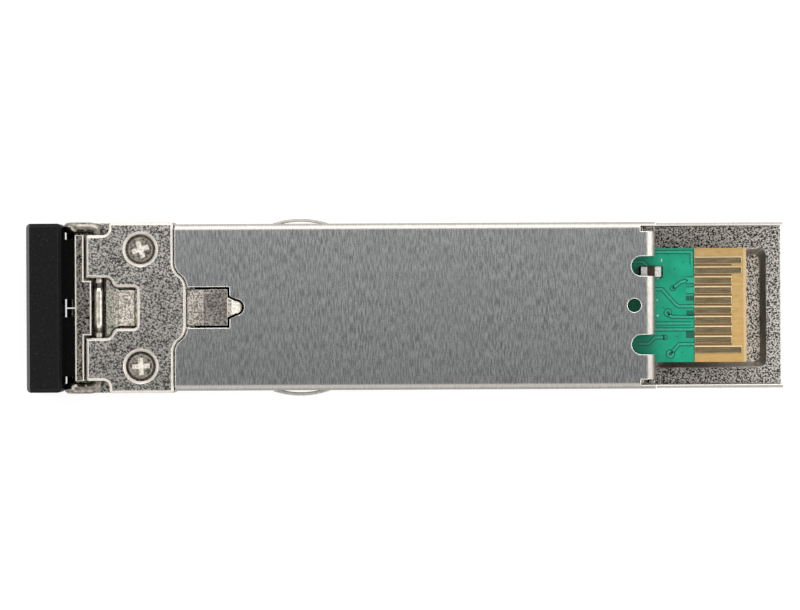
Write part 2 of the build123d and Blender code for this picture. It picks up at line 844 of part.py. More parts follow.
def lever_beam():
    """Side profile of the rocker, from its tip to the shoulder."""
    tip_z = pivot_height + tip_underside_above_axis
    ledge_end = lever_front_x + ledge_length
    head_end = lever_front_x + head_length
    arm_start = nose_rear_x + tongue_reach + side_clearance / 2
    block_start = -shoulder_block_length
    ledge_top = body_height - lever_ledge_drop
    tab_top = body_height - lever_tab_drop
    mid_top = body_height - lever_mid_drop
    arm_top = body_height - lever_arm_drop
    arm_bottom = arm_top - lever_arm_thickness
    points = [(lever_front_x, tip_z + tip_chamfer), (lever_front_x, ledge_top),
              (ledge_end, ledge_top), (ledge_end, tab_top), (head_end, tab_top),
              (head_end, mid_top), (arm_start, mid_top), (arm_start, arm_top),
              (block_start, arm_top), (block_start, body_height), (0, body_height),
              (0, arm_bottom), (lever_pin_x, plate_seat - lever_belly), (ledge_end, tip_z),
              (lever_front_x + tip_chamfer, tip_z)]
    return side_profile(points, lever_half_width)


def latch_lever():
    """Rocker from the pad behind the bail's shaft to the boss at the latch shoulder."""
    lever = lever_beam() + lever_head_ledge() + lever_head_pad()
    for side in SIDES:
        y0, y1 = sorted((side * (lever_half_width - shoulder_notch_width), side * lever_half_width))
        lever -= block(-shoulder_block_length, shoulder_notch_length - shoulder_block_length, y0, y1,
                       body_height - shoulder_notch_depth, body_height)
    lever += rod_y(lever_half_width, lever_pin_x, plate_seat, lever_hub_radius)
    lever += latch_boss()
    lever -= rod_y(lever_half_width + 1, lever_pin_x, plate_seat, lever_pin_radius + pin_clearance)
    return solid_of(lever)


def latch_pin():
    return rod_y(lever_pin_length / 2, lever_pin_x, plate_seat, lever_pin_radius)


# Bail
def bail_wire():
    """One bent wire: a cross-bar, two arms and a pivot shaft with a bow in its middle."""
    bow_z = pivot_height + bow_offset
    bow_out = bow_half_width + bow_rise_width
    half = [(arm_x, bail_end_gap / 2, bar_height), (arm_x, arm_y, bar_height),
            (arm_x, arm_y, pivot_height), (pivot_x, arm_y, pivot_height),
            (pivot_x, bow_out, pivot_height), (pivot_x, bow_half_width, bow_z)]
    other = [(x, -y, z) for x, y, z in reversed(half)]
    bends = [wire_bend_radius] * (len(half) + len(other) - 2)
    path = FilletPolyline(*half, *other, radius=bends)
    section = Plane(origin=path @ 0, z_dir=path % 0) * Circle(wire_radius)
    return solid_of(sweep(section, path=path))


# Dust plug
def plug_grip():
    rear_x = front_x - grip_standoff
    grip = slab(rear_x - grip_thickness, rear_x, nose_half - grip_side_inset, grip_floor_gap,
                nose_height - grip_top_drop)
    grip = fillet(grip.edges().filter_by(Axis.Z), grip_corner_radius)
    levels = grip.faces().sort_by(Axis.Z)
    return chamfer(levels[0].edges() + levels[-1].edges(), grip_chamfer)


def plug_prong(side):
    """Hollow-ended prong that fills one port."""
    half = port_width / 2 - prong_clearance
    tip_x = front_x + prong_insertion
    y = side * port_y
    prong = block(front_x - grip_standoff, tip_x, y - half, y + half,
                  port_floor + prong_height_clearance, port_top - prong_height_clearance)
    prong = chamfer(prong.faces().sort_by(Axis.X)[-1].edges(), prong_tip_chamfer)
    return prong - rod_x(tip_x - prong_bore_depth, tip_x, y, port_centre_z, prong_bore_radius)


def dust_plug():
    return solid_of(plug_grip() + plug_prong(-1) + plug_prong(1))


NODES = {
    "base_housing": base_housing,
    "front_plate": front_plate,
    "front_screws": front_screws,
    "shield_cover": shield_cover,
    "circuit_board": circuit_board,
    "latch_side_contacts": latch_side_contacts,
    "label_side_contacts": label_side_contacts,
    "controller_chip": controller_chip,
    "laser_driver_chip": laser_driver_chip,
    "receiver_amplifier_chip": receiver_amplifier_chip,
    "memory_chip": memory_chip,
    "chip_capacitors": chip_capacitors,
    "chip_resistors": chip_resistors,
    "thermal_pad": thermal_pad,
    "transmitter_barrel": lambda: optical_barrel(port_y),
    "transmitter_can": lambda: optical_can(port_y),
    "transmitter_flex": lambda: optical_flex(port_y),
    "receiver_barrel": lambda: optical_barrel(-port_y),
    "receiver_can": lambda: optical_can(-port_y),
    "receiver_flex": lambda: optical_flex(-port_y),
    "ferrule_sleeves": ferrule_sleeves,
    "shielding_plate": shielding_plate,
    "barrel_holder": barrel_holder,
    "latch_lever": latch_lever,
    "latch_pin": latch_pin,
    "bail_wire": bail_wire,
    "dust_plug": dust_plug,
}

for name, build in NODES.items():
    export_step(build(), f"parts/{name}.step")
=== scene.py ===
import math

import bmesh
import bpy
from mathutils import Matrix, Vector


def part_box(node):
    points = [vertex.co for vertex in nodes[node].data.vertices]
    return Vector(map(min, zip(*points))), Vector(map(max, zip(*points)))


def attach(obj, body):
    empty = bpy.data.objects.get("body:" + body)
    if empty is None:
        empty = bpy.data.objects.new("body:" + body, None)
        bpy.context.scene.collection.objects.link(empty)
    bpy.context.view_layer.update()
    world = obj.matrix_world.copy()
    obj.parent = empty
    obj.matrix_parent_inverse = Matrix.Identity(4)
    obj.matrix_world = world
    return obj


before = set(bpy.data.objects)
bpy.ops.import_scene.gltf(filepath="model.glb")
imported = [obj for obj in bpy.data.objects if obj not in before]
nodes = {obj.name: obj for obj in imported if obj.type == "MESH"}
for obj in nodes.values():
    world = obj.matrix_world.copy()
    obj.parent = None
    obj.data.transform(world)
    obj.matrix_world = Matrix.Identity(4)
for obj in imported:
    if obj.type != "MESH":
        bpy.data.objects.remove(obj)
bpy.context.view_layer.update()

MM = 0.001

# Further from the origin than any part of the module
FAR = 1.0

# Camera above the latch face, with the photograph's scale, middle and turn
IMAGE_WIDTH_PX = 800
PX_PER_MM = 12.45
CAMERA_HEIGHT = 600 * MM
LATCH_FACE_Z = 8.5 * MM
VIEW_CENTRE_X = 13.86 * MM
VIEW_CENTRE_Y = 0.12 * MM
VIEW_TURN = math.radians(-0.286)
SENSOR_MM = 36.0
CLIP_NEAR = 0.01
CLIP_FAR = 10

# Studio: a white surround, and a soft panel on each side that reaches down to the floor
WORLD_LEVEL = 0.42
FLOOR_HALF = 2.0
FLOOR_DROP = 0.02 * MM
FLOOR_COLOUR = 0.35
FLOOR_GLOW = 0.72
PANEL_DISTANCE = 0.6
PANEL_WIDTH = 0.8
PANEL_HEIGHT = 0.66
PANEL_ELEVATION = math.radians(28)
PANEL_DIFFUSE_SHARE = 0.2
PANEL_RADIANCE = {"right": 1.9, "back": 2.0, "left": 1.6, "front": 0.95}

# Plug: width of the rim round its outer face that has a painted highlight
GRIP_RIM = 0.27 * MM

# Housing: the dark strip at the front, and the pocket under the board's tongue, painted bright as a pool
# of light
NOSE_STRIP_END_X = -10.95 * MM
NOSE_STRIP_BOTTOM_Z = 7.25 * MM
POCKET_START_X = 34.4 * MM
POCKET_Y = (-5.1 * MM, 4.6 * MM)
POCKET_Z = (0.5 * MM, 2.4 * MM)

# Lever: where its bright tab, its arms and its dark block begin
TAB_START_X = -9.0 * MM
ARM_START_X = -3.3 * MM
BLOCK_START_X = -1.96 * MM

# Wire: half the length, about the centre plane, over which it has a painted highlight
SHAFT_HALF = 2.3 * MM

# Screws: the depth under the heads' faces from which their recess is painted bright, as a highlight
RECESS_DEPTH = 0.2 * MM

# Shield: the height up to which its sides and cut edges are painted brighter as sheen, and by how much
SHEEN_TOP_Z = 7.95 * MM
SHEEN_GAIN = 1.5

# Contacts, in rows that lie evenly about the centre plane, which is the middle of a gap
PAD_ROWS = 10
PAD_PITCH = 0.8 * MM
PAD_WIDTH = 0.58 * MM
PAD_ROWS_HALF = 3.7 * MM
SHORT_PAD_END_X = 40.6 * MM
GAP_PHASE = 0.5

# Shares of the pitch: the painted highlight along the +Y edge of a contact, and the painted shadow about
# the middle of a gap
PAD_HIGHLIGHT_SHARE = 0.08
SHADE_NEAR_SHARE = 0.06
SHADE_FAR_SHARE = 0.16

# Board: its tongue, the end of the solder mask with its dark border, and the bevelled end
TONGUE_HALF = 4.6 * MM
MASK_END_X = 37.6 * MM
MASK_BORDER = 0.07 * MM
BOARD_CHAMFER_X = 41.55 * MM

# Radius over which each kind of surface is worn round beside its edges
WORN_CASTING = 0.12 * MM
WORN_SHEET = 0.13 * MM
WORN_TURNED = 0.05 * MM
WORN_SCREW = 0.07 * MM
WORN_MOULDING = 0.06 * MM
WORN_PLUG = 0.07 * MM
WORN_BOARD = 0.06 * MM
WORN_CONTACT = 0.08 * MM
BEVEL_SAMPLES = 6

# Cosine between the worn and the true normal where wear begins, and where it is full
EDGE_COSINES = (0.99, 0.88)

# Upward part of a normal where a slope begins and is full, from level and from upright faces
SLOPE_FROM_LEVEL = (0.97, 0.88)
SLOPE_FROM_UPRIGHT = (0.2, 0.4)

# Grain, and the values between which a noise mostly lies
FINE_BUMP = 0.004 * MM
MOULD_BUMP = 0.012 * MM
MOULD_GRAIN = 0.12 * MM
NOISE_LOW = 0.3
NOISE_HIGH = 0.7

# Share of the grain's contrast that a casting loses on its upright faces
SIDE_CALM = 0.6

# Painted light on the outer metal: its brightness at the -Y side, and at the +Y side, where more light
# falls
BODY_HALF = 6.7 * MM
SHADED_SIDE_LEVEL = 0.84
LIT_SIDE_LEVEL = 1.18

# Colour of cast and plated metal on its edges and upper chamfers: wear, and partly a painted highlight
WEAR_AND_HIGHLIGHT = (0.62, 0.58, 0.52)

# Copper under the solder mask, with its paths in the board's plane in millimetres
LAYER = 0.008 * MM
TRACE_WIDTH = 0.17 * MM
TRACE_EDGE = 0.085 * MM
TRACES = [
    [(33.0, 1.29), (35.0, 1.29), (36.1, 0.05), (36.35, -0.1), (37.58, -0.1)],
    [(37.05, 2.0), (36.5, 1.85), (35.86, 1.36)],
    [(35.45, -0.59), (35.62, -0.85), (35.85, -0.95), (37.58, -0.95)],
    [(33.0, -1.48), (37.3, -1.48)],
    [(33.0, -1.96), (37.58, -1.96)],
    [(35.64, -3.94), (36.35, -3.15), (37.58, -3.15)],
    [(34.0, 4.28), (37.39, 4.28), (37.39, 3.27)],
    [(33.0, -3.1), (33.9, -3.1), (34.4, -2.6), (35.2, -2.6)],
    [(33.0, 3.5), (33.5, 3.5), (34.0, 2.95)],
]
STUB_ROWS = (6, 7)
STUB_WIDTH = 0.46 * MM
STUB_START = 36.95
STUB_END = 37.58

# Vias as (x, y, radius) and plated holes as (x, y), in millimetres
VIAS = [(35.86, 1.36, 0.15), (35.45, -0.59, 0.26), (35.64, -3.94, 0.3), (35.2, -2.6, 0.14)]
# The bores and holes are drawn as dark discs on the board: painted shade
VIA_BORE_SHARE = 0.45
VIA_BORE_LAYERS = 3
PIN_HOLES = [(35.5, 4.1), (36.7, 3.42), (36.6, -3.8), (34.9, 2.2), (36.0, 2.9), (35.1, -0.2),
             (36.2, -2.55)]
PIN_HOLE_RADIUS = 0.06 * MM
DISC_SEGMENTS = 28

# Bare fields and printed marks as (x0, x1, y0, y1), in millimetres
DARK_FIELDS = [(36.95, 37.56, -0.87, -0.43), (36.9, 37.56, -2.66, -2.1), (36.9, 37.56, 0.35, 0.75),
               (33.1, 35.02, 2.2, 3.2)]
WHITE_MARKS = [(34.92, 34.99, 3.5, 3.75), (34.52, 34.62, 0.36, 0.48), (34.55, 34.68, -0.9, -0.78),
               (34.58, 34.72, 2.12, 2.18)]

# Soldered ends of the small parts on the board
TERMINAL_SHARE = 0.3
TERMINAL_SKIN = 0.012 * MM
TERMINAL_BEVEL = 0.03 * MM
TERMINAL_BEVEL_STEPS = 2
SOLDER_REACH = 0.14 * MM
SOLDER_CLIMB = 0.6


def scaled(colour, factor):
    return tuple(min(channel * factor, 1.0) for channel in colour)


class Nodes:
    """Builds the node tree of a material or of the world, with short calls for its nodes."""

    def __init__(self, owner, output="ShaderNodeOutputMaterial"):
        owner.use_nodes = True
        self.owner = owner
        self.tree = owner.node_tree
        self.tree.nodes.clear()
        self.out = self.node(output)

    def node(self, kind, **settings):
        made = self.tree.nodes.new(kind)
        for key, value in settings.items():
            setattr(made, key, value)
        return made

    def link(self, source, target):
        self.tree.links.new(source, target)

    def feed(self, socket, value):
        """Links a socket, or sets it to a number or a colour."""
        if isinstance(value, bpy.types.NodeSocket):
            self.link(value, socket)
        elif isinstance(value, (int, float)):
            socket.default_value = value
        else:
            socket.default_value = (*value, 1)

    def place(self):
        """Object coordinates, which are the module's own frame in metres."""
        return self.node("ShaderNodeTexCoord").outputs["Object"]

    def axis(self, name):
        split = self.node("ShaderNodeSeparateXYZ")
        self.link(self.place(), split.inputs[0])
        return split.outputs[name]

    def stretched(self, scale):
        mapping = self.node("ShaderNodeMapping")
        mapping.inputs["Scale"].default_value = scale
        self.link(self.place(), mapping.inputs["Vector"])
        return mapping.outputs["Vector"]

    def noise(self, size, detail=2.0, roughness=0.5):
        """Noise whose spots are about `size` metres across, or (x, y, z) metres."""
        made = self.node("ShaderNodeTexNoise")
        made.inputs["Detail"].default_value = detail
        made.inputs["Roughness"].default_value = roughness
        if isinstance(size, tuple):
            made.inputs["Scale"].default_value = 1
            self.link(self.stretched(tuple(1 / length for length in size)), made.inputs["Vector"])
        else:
            made.inputs["Scale"].default_value = 1 / size
            self.link(self.place(), made.inputs["Vector"])
        return made.outputs["Fac"]

    def ramp(self, value, stops):
        """Colour for a value, between (position, colour) stops."""
        made = self.node("ShaderNodeValToRGB")
        elements = made.color_ramp.elements
        while len(elements) < len(stops):
            elements.new(0.5)
        for element, (position, colour) in zip(elements, stops):
            element.position = position
            element.color = (*colour, 1)
        self.link(value, made.inputs["Fac"])
        return made.outputs["Color"]

    def mix(self, share, a, b, kind="MIX"):
        """Goes from a to b. The colours are sockets 6 and 7 of the node, and its output 2."""
        made = self.node("ShaderNodeMix", data_type="RGBA", blend_type=kind)
        for index, value in ((0, share), (6, a), (7, b)):
            self.feed(made.inputs[index], value)
        return made.outputs[2]

    def maths(self, kind, a, b=0.0):
        made = self.node("ShaderNodeMath", operation=kind)
        self.feed(made.inputs[0], a)
        self.feed(made.inputs[1], b)
        return made.outputs[0]

    def both(self, a, b):
        """1 where two masks are 1."""
        return self.maths("MULTIPLY", a, b)

    def cover(self, mask, share, under, over):
        """Lays a share of one colour over another where a mask is 1."""
        return self.mix(self.maths("MULTIPLY", mask, share), under, over)

    def spread(self, value, low, high, to_low=0.0, to_high=1.0):
        """Carries the range from low to high over to another, and holds at its ends."""
        made = self.node("ShaderNodeMapRange")
        made.inputs["From Min"].default_value = low
        made.inputs["From Max"].default_value = high
        made.inputs["To Min"].default_value = to_low
        made.inputs["To Max"].default_value = to_high
        self.link(value, made.inputs["Value"])
        return made.outputs["Result"]

    def varied(self, noise, at_low, at_high):
        """Number that wanders from one value to another with a noise."""
        return self.spread(noise, NOISE_LOW, NOISE_HIGH, at_low, at_high)

    def step(self, axis, low, high):
        """1 between two places along an axis, 0 outside them."""
        above = self.maths("GREATER_THAN", self.axis(axis), low)
        below = self.maths("LESS_THAN", self.axis(axis), high)
        return self.both(above, below)

    def facing_up(self):
        """1 on level faces that look up, 0 on upright ones, -1 on those that look down."""
        geometry = self.node("ShaderNodeNewGeometry")
        split = self.node("ShaderNodeSeparateXYZ")
        self.link(geometry.outputs["Normal"], split.inputs[0])
        return split.outputs["Z"]

    def slopes(self):
        """1 on chamfers that look up at a slant, 0 on level and upright faces."""
        up = self.facing_up()
        return self.both(self.spread(up, *SLOPE_FROM_LEVEL), self.spread(up, *SLOPE_FROM_UPRIGHT))

    def painted_side_light(self, colour):
        """Painted light: brightens a colour steadily from the shaded -Y side to the lit +Y side."""
        level = self.spread(self.axis("Y"), -BODY_HALF, BODY_HALF, SHADED_SIDE_LEVEL, LIT_SIDE_LEVEL)
        return self.mix(1.0, colour, level, "MULTIPLY")

    def between_pads(self, low, high):
        """1 between two shares of the pitch, counted in +Y from the middle of each gap."""
        pitches = self.maths("DIVIDE", self.axis("Y"), PAD_PITCH)
        phase = self.maths("FRACT", self.maths("ADD", pitches, GAP_PHASE))
        above = self.maths("GREATER_THAN", phase, GAP_PHASE + low)
        below = self.maths("LESS_THAN", phase, GAP_PHASE + high)
        return self.both(above, below)

    def rounded(self, radius):
        """Normal that is worn round beside the solid's edges."""
        bevel = self.node("ShaderNodeBevel", samples=BEVEL_SAMPLES)
        bevel.inputs["Radius"].default_value = radius
        return bevel.outputs["Normal"]

    def edges(self, worn_normal):
        """1 beside an edge of the solid, 0 on its open faces."""
        geometry = self.node("ShaderNodeNewGeometry")
        dot = self.node("ShaderNodeVectorMath", operation="DOT_PRODUCT")
        self.link(worn_normal, dot.inputs[0])
        self.link(geometry.outputs["Normal"], dot.inputs[1])
        return self.spread(dot.outputs["Value"], *EDGE_COSINES)

    def edges_and_slopes(self, worn_normal):
        """1 beside an edge of the solid and on its upper chamfers."""
        return self.maths("MAXIMUM", self.edges(worn_normal), self.slopes())

    def bump(self, height, distance, normal=None):
        made = self.node("ShaderNodeBump")
        made.inputs["Distance"].default_value = distance
        self.link(height, made.inputs["Height"])
        if normal is not None:
            self.link(normal, made.inputs["Normal"])
        return made.outputs["Normal"]

    def surface(self, colour, roughness, normal, metallic=0.0, specular=0.5):
        """Ends a material in its shader."""
        shader = self.node("ShaderNodeBsdfPrincipled")
        self.feed(shader.inputs["Base Color"], colour)
        self.feed(shader.inputs["Roughness"], roughness)
        self.link(normal, shader.inputs["Normal"])
        shader.inputs["Metallic"].default_value = metallic
        shader.inputs["Specular IOR Level"].default_value = specular
        self.link(shader.outputs["BSDF"], self.out.inputs["Surface"])
        return self.owner

    def background_share(self):
        """1 for the rays that should see the white background."""
        path = self.node("ShaderNodeLightPath")
        share = path.outputs["Is Camera Ray"]
        for name in ("Is Glossy Ray", "Is Transmission Ray"):
            share = self.maths("MAXIMUM", share, path.outputs[name])
        return share


def new_material(name):
    return Nodes(bpy.data.materials.new(name))


def cast_surface(m, colour, grain=0.15 * MM, depth=0.045 * MM, shade=0.9, half=0.08, wear_and_highlight_share=0.8):
    """Plated die casting: a sparkling grain, and bright edges and upper chamfers, worn and partly a
    painted highlight.

    The grain takes up to `shade` off the colour, over `half` to each side of the noise's middle.
    """
    grains = m.noise(grain, detail=3, roughness=0.7)
    middle = (1 - shade / 2,) * 3
    speck = m.ramp(grains, [(0.5 - half, (1 - shade,) * 3), (0.5, middle), (0.5 + half, (1, 1, 1))])
    speck = m.mix(m.spread(m.facing_up(), 0.3, 0.0, 0.0, SIDE_CALM), speck, middle)
    tint = m.mix(1.0, colour, speck, "MULTIPLY")
    worn = m.rounded(WORN_CASTING)
    # Edges and upper chamfers lightened: wear, and partly a painted highlight
    tint = m.cover(m.edges_and_slopes(worn), wear_and_highlight_share, tint, WEAR_AND_HIGHLIGHT)
    return m.surface(tint, m.varied(grains, 0.5, 0.3), m.bump(grains, depth, worn), metallic=1.0)


def plate_casting():
    m = new_material("plate_casting")
    clouds = m.ramp(m.noise(2.5 * MM), [(0.35, (0.29, 0.275, 0.255)), (0.65, (0.36, 0.343, 0.318))])
    # Painted light: lighter towards the +Y side
    return cast_surface(m, m.painted_side_light(clouds), half=0.065)


def lever_casting():
    """The tab is bright, and the pad at its front and the block at the shoulder are dark."""
    m = new_material("lever_casting")
    tint = m.mix(m.step("X", TAB_START_X, ARM_START_X), (0.56, 0.515, 0.455), (0.72, 0.655, 0.57))
    tint = m.mix(m.step("X", -FAR, TAB_START_X), tint, (0.43, 0.41, 0.35))
    tint = m.mix(m.step("X", BLOCK_START_X, 0), tint, (0.27, 0.248, 0.222))
    return cast_surface(m, tint, shade=0.8, depth=0.03 * MM, wear_and_highlight_share=0.35)


def base_casting():
    """The raised strip at the front is dark, and the pocket under the board's tongue is painted bright,
    as a pool of light.
    """
    m = new_material("base_casting")
    strip = m.both(m.step("X", -FAR, NOSE_STRIP_END_X), m.step("Z", NOSE_STRIP_BOTTOM_Z, FAR))
    lit_pocket = m.both(m.step("X", POCKET_START_X, FAR), m.step("Y", *POCKET_Y))
    lit_pocket = m.both(lit_pocket, m.step("Z", *POCKET_Z))
    tint = m.mix(strip, (0.47, 0.447, 0.405), (0.175, 0.158, 0.142))
    # Painted light: the floor of the pocket is lighter
    tint = m.mix(lit_pocket, tint, (0.68, 0.62, 0.54))
    return cast_surface(m, tint, grain=0.14 * MM, depth=0.05 * MM, shade=0.97, half=0.05)


def brushed_sheet():
    """Rolled sheet with short fine brush strokes across the module, with painted sheen on its bends,
    sides and edges.
    """
    m = new_material("cover_sheet")
    strokes = m.noise((0.08 * MM, 0.7 * MM, 0.7 * MM))
    specks = m.noise(0.1 * MM, detail=1)
    grain = m.maths("ADD", m.maths("MULTIPLY", strokes, 0.7), m.maths("MULTIPLY", specks, 0.3))
    clouds = m.noise(4.0 * MM, detail=3)
    tint = m.ramp(grain, [(0.41, (0.115, 0.117, 0.118)), (0.59, (0.275, 0.277, 0.278))])
    tint = m.mix(m.spread(clouds, 0.35, 0.65, 0.0, 0.3), tint, (0.2, 0.202, 0.204))
    # Painted sheen: faces that do not look straight up get a lighter colour
    side_sheen = m.ramp(grain, [(0.38, (0.29, 0.274, 0.255)), (0.62, (0.37, 0.35, 0.325))])
    tint = m.mix(m.spread(m.facing_up(), 0.995, 0.95), tint, side_sheen)
    # Painted sheen: the sides and cut edges below the top of the shield are lighter still
    low_side_sheen = m.mix(1.0, side_sheen, (SHEEN_GAIN,) * 3, "MULTIPLY")
    tint = m.mix(m.step("Z", 0, SHEEN_TOP_Z), tint, low_side_sheen)
    # Painted light: lighter towards the +Y side
    tint = m.painted_side_light(tint)
    worn = m.rounded(WORN_SHEET)
    # Painted highlight along the edges of the sheet
    tint = m.cover(m.edges(worn), 0.9, tint, (0.85, 0.82, 0.77))
    return m.surface(tint, m.spread(grain, 0.35, 0.65, 0.36, 0.28), m.bump(grain, FINE_BUMP, worn),
                     metallic=1.0)


def bright_metal(name, colour, rough=0.25, size=0.2 * MM):
    """Turned or tinned metal with marks about `size` metres across."""
    m = new_material(name)
    marks = m.noise(size, detail=3)
    tint = m.ramp(marks, [(0.3, scaled(colour, 0.7)), (0.7, scaled(colour, 1.2))])
    return m.surface(tint, m.varied(marks, rough * 0.8, rough * 1.3),
                     m.bump(marks, FINE_BUMP, m.rounded(WORN_TURNED)), metallic=1.0)


def wire_steel():
    """Drawn wire, with a painted highlight on the middle of its shaft, where the lever bears on it."""
    m = new_material("drawn_wire")
    marks = m.noise(0.4 * MM, detail=3)
    tint = m.ramp(marks, [(0.35, (0.11, 0.096, 0.08)), (0.65, (0.29, 0.27, 0.238))])
    # Painted highlight on the middle of the wire
    painted_highlight = m.ramp(marks, [(0.35, (0.37, 0.34, 0.292)), (0.65, (0.6, 0.563, 0.5))])
    tint = m.mix(m.step("Y", -SHAFT_HALF, SHAFT_HALF), tint, painted_highlight)
    return m.surface(tint, m.varied(marks, 0.15, 0.26), m.bump(marks, FINE_BUMP), metallic=1.0)


def screw_steel():
    """Plated heads with a dull face, and a painted highlight in the recess."""
    m = new_material("screw_steel")
    face_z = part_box("front_screws")[1][2]
    stains = m.noise(0.22 * MM, detail=3)
    dull = m.ramp(stains, [(0.38, (0.07, 0.06, 0.05)), (0.62, (0.3, 0.28, 0.24))])
    # Painted highlight in the recess
    recess_highlight = m.ramp(stains, [(0.32, (0.44, 0.4, 0.33)), (0.52, (0.92, 0.88, 0.8))])
    recess = m.maths("LESS_THAN", m.axis("Z"), face_z - RECESS_DEPTH)
    tint = m.mix(recess, dull, recess_highlight)
    worn = m.rounded(WORN_SCREW)
    # Edges and upper chamfers lightened: wear, and partly a painted highlight
    tint = m.cover(m.edges_and_slopes(worn), 0.8, tint, WEAR_AND_HIGHLIGHT)
    return m.surface(tint, m.varied(stains, 0.25, 0.4), m.bump(stains, 0.03 * MM, worn), metallic=1.0)


def moulded(name, colour, rough=0.55, specular=0.2, fleck=3.0):
    """Moulded or fired surface with flecks that are `fleck` times as bright as its colour."""
    m = new_material(name)
    grains = m.noise(MOULD_GRAIN)
    tint = m.ramp(grains, [(0.35, scaled(colour, 0.6)), (0.62, colour), (0.78, scaled(colour, fleck))])
    return m.surface(tint, m.varied(grains, rough - 0.08, rough + 0.1),
                     m.bump(grains, MOULD_BUMP, m.rounded(WORN_MOULDING)), specular=specular)


def plug_moulding():
    """Black plastic with fine flecks, with a painted grey highlight on the chamfer round its outer face
    and along its edges.
    """
    m = new_material("plug_moulding")
    flecks = m.noise(MOULD_GRAIN)
    tint = m.ramp(flecks, [(0.35, (0.005, 0.005, 0.005)), (0.62, (0.008, 0.008, 0.009)),
                           (0.78, (0.03, 0.03, 0.033))])
    worn = m.rounded(WORN_PLUG)
    outer_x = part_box("dust_plug")[0][0]
    rim = m.both(m.slopes(), m.step("X", -FAR, outer_x + GRIP_RIM))
    # Painted highlight: grey on the outer chamfer and, more faintly, on the edges
    painted_highlight = m.maths("MAXIMUM", m.maths("MULTIPLY", m.edges(worn), 0.4), rim)
    tint = m.cover(painted_highlight, 0.8, tint, (0.13, 0.13, 0.135))
    return m.surface(tint, m.varied(flecks, 0.47, 0.65), m.bump(flecks, MOULD_BUMP, worn), specular=0.06)


def laminate():
    """Glass laminate, under green solder mask as far as the contacts, with a painted shadow just below
    each contact.
    """
    m = new_material("board_laminate")
    weave = m.noise((0.7 * MM, 0.2 * MM, 0.7 * MM))
    tan = m.ramp(weave, [(0.3, (0.39, 0.245, 0.083)), (0.7, (0.49, 0.325, 0.13))])
    tan = m.mix(m.spread(m.axis("Y"), 0, -TONGUE_HALF, 0, 0.5), tan, (0.52, 0.3, 0.09))
    # Painted shadow: a dark band on the board just below each contact, on its -Y side
    shade_and_dark_mask = m.both(m.between_pads(-SHADE_NEAR_SHARE, SHADE_FAR_SHARE),
                    m.step("Y", -PAD_ROWS_HALF, PAD_ROWS_HALF))
    shade_and_dark_mask = m.both(shade_and_dark_mask, m.step("X", MASK_END_X, SHORT_PAD_END_X))
    tan = m.cover(shade_and_dark_mask, 0.92, tan, (0.12, 0.055, 0.022))
    tan = m.mix(m.step("X", BOARD_CHAMFER_X, FAR), tan, (0.52, 0.37, 0.19))
    green = m.ramp(m.noise(1.5 * MM), [(0.3, (0.002, 0.25, 0.14)), (0.7, (0.008, 0.33, 0.19))])
    green = m.mix(m.step("X", MASK_END_X - MASK_BORDER, MASK_END_X), green, (0.002, 0.09, 0.06))
    masked = m.step("X", 0, MASK_END_X)
    tint = m.mix(masked, tan, green)
    return m.surface(tint, m.spread(masked, 0, 1, 0.55, 0.35),
                     m.bump(weave, FINE_BUMP, m.rounded(WORN_BOARD)), specular=0.3)


def mask_film(name, colour):
    """Solder mask, lighter where it lies over copper, and darker where it partly stands for shade."""
    m = new_material(name)
    ripple = m.noise(0.15 * MM)
    tint = m.ramp(ripple, [(0.35, scaled(colour, 0.85)), (0.65, scaled(colour, 1.15))])
    return m.surface(tint, 0.35, m.bump(ripple, FINE_BUMP), specular=0.4)


def contact_gold():
    """Gold plating with strokes along the module, spots, and painted highlights on its edges, brightest
    along the +Y edge of each contact.
    """
    m = new_material("contact_gold")
    strokes = m.noise((1.1 * MM, 0.07 * MM, 0.07 * MM), detail=3)
    spots = m.noise(0.15 * MM)
    tint = m.ramp(strokes, [(0.35, (0.13, 0.1, 0.053)), (0.65, (0.24, 0.19, 0.11))])
    tint = m.mix(m.spread(spots, 0.45, 0.7, 0, 0.5), tint, (0.12, 0.085, 0.045))
    half_gap = (1 - PAD_WIDTH / PAD_PITCH) / 2
    # Painted highlight along the +Y edge of each contact
    lip_highlight = m.between_pads(-half_gap - PAD_HIGHLIGHT_SHARE, -half_gap)
    tint = m.cover(lip_highlight, 0.75, tint, (0.85, 0.72, 0.48))
    worn = m.rounded(WORN_CONTACT)
    # Painted highlight on the edges of the contacts
    tint = m.cover(m.edges(worn), 0.8, tint, (0.75, 0.62, 0.36))
    return m.surface(tint, 0.3, m.bump(strokes, FINE_BUMP, worn), metallic=1.0)


